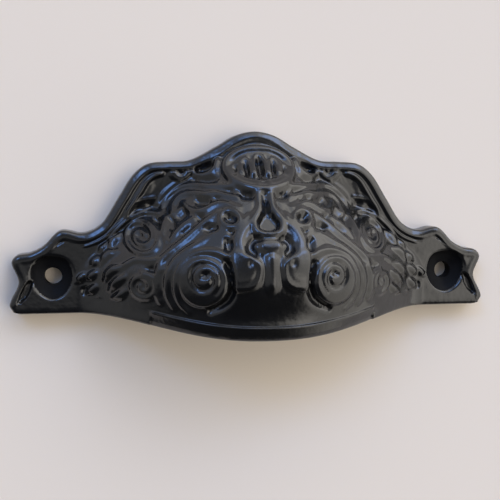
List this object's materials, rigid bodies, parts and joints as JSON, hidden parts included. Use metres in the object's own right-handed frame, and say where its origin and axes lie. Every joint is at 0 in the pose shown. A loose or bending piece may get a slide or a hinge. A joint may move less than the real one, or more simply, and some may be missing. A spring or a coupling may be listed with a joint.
{
  "type": "cup pull",
  "caption": "Ornate cast cup pull for a drawer: hollow cup open below, scroll carving, shell crest, raised border and eared ends with countersunk screw holes.",
  "frame": {"origin": "midway between the two screw holes, on the flat back face", "axes": "+X through the screw holes, +Y up towards the crest, +Z out of the drawer front"},
  "size_m": [0.1064, 0.0432, 0.0266],
  "materials": {
    "black_enamel": "gloss black enamel over cast iron, with soft thick edges"
  },
  "bodies": {
    "root": {"cup_pull": "black_enamel"}
  },
  "joints": []
}
